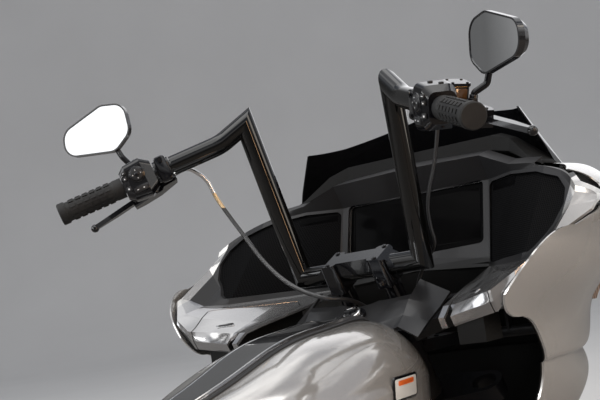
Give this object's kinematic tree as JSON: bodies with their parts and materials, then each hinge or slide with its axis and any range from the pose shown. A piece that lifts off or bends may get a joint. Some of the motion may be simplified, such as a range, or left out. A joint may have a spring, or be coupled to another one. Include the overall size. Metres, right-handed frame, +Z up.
{
  "type": "touring motorcycle front section",
  "caption": "Front of a touring motorcycle: high T-shaped handlebar with controls and mirrors, wide fairing with dash, speakers and doors, smoked screen, fuel tank.",
  "frame": {"origin": "middle of the flange at the rear end of the backbone", "axes": "+Y forward, +X to the rider's right, +Z up"},
  "size_m": [0.9953, 1.208, 0.7663],
  "materials": {
    "frame_black": "semi-gloss",
    "clamp_black": "semi-gloss",
    "steel": "brushed",
    "gloss_black": "gloss",
    "bar_black": "high gloss",
    "grip_rubber": "matte",
    "control_black": "satin",
    "lever_black": "gloss",
    "cable_black": "satin",
    "mirror_black": "gloss",
    "mirror_glass": "polished",
    "body_paint": "high gloss",
    "console_black": "gloss",
    "amber_lens": "clear coated",
    "clear_lens": "clear",
    "lamp_chrome": "polished",
    "matte_black": "matte",
    "dash_grey": "satin",
    "grille_black": "matte",
    "screen_black": "gloss",
    "door_black": "satin",
    "shroud_black": "satin",
    "smoked_screen": "smoked"
  },
  "bodies": {
    "body": {"frame": "frame_black", "tank": "body_paint", "console": "console_black", "fuel_cap": "steel", "outer_fairing": "body_paint", "turn_lamp_right": "amber_lens", "turn_lamp_left": "amber_lens", "headlamp_lens": "clear_lens", "headlamp_housing": "lamp_chrome", "fairing_liner": "matte_black", "inner_fairing": "dash_grey", "speaker_grille_right": "grille_black", "speaker_grille_left": "grille_black", "display": "screen_black", "side_panel_right": "dash_grey", "side_panel_left": "dash_grey", "storage_bin_right": "matte_black", "storage_bin_left": "matte_black", "shroud": "shroud_black", "ignition_switch": "control_black", "windshield": "smoked_screen", "vent_cover": "matte_black", "fairing_bracket": "frame_black"},
    "steering": {"lower_clamp": "clamp_black", "upper_clamp": "clamp_black", "stem_nut": "steel", "riser_left": "gloss_black", "riser_right": "gloss_black", "top_clamp": "gloss_black", "handlebar": "bar_black", "grip_right": "grip_rubber", "grip_left": "grip_rubber", "switch_housing_right": "control_black", "switch_housing_left": "control_black", "brake_perch": "control_black", "clutch_perch": "control_black", "brake_lever": "lever_black", "clutch_lever": "lever_black", "brake_reservoir": "control_black", "clutch_cable": "cable_black", "brake_line": "cable_black", "mirror_stalk_right": "control_black", "mirror_stalk_left": "control_black", "mirror_shell_right": "mirror_black", "mirror_shell_left": "mirror_black", "mirror_glass_right": "mirror_glass", "mirror_glass_left": "mirror_glass"},
    "door_right": {"storage_door_right": "door_black"},
    "door_left": {"storage_door_left": "door_black"},
    "filler_door": {"fuel_door": "console_black"}
  },
  "joints": [
    {"name": "steering", "type": "hinge", "parent": "body", "child": "steering", "pos_m": [0, 0.736, 0.242], "axis": [0, -0.4384, 0.8988], "range_deg": [-30, 30]},
    {"name": "storage_door_right", "type": "hinge", "parent": "body", "child": "door_right", "pos_m": [0.335, 0.622, 0.254], "axis": [-0.6564, 0.754, -0.0266], "range_deg": [0, 50]},
    {"name": "storage_door_left", "type": "hinge", "parent": "body", "child": "door_left", "pos_m": [-0.335, 0.622, 0.254], "axis": [-0.6564, -0.754, 0.0266], "range_deg": [0, 50]},
    {"name": "fuel_door", "type": "hinge", "parent": "body", "child": "filler_door", "pos_m": [0, 0.546, 0.207], "axis": [-1, 0, 0], "range_deg": [0, 75]}
  ]
}
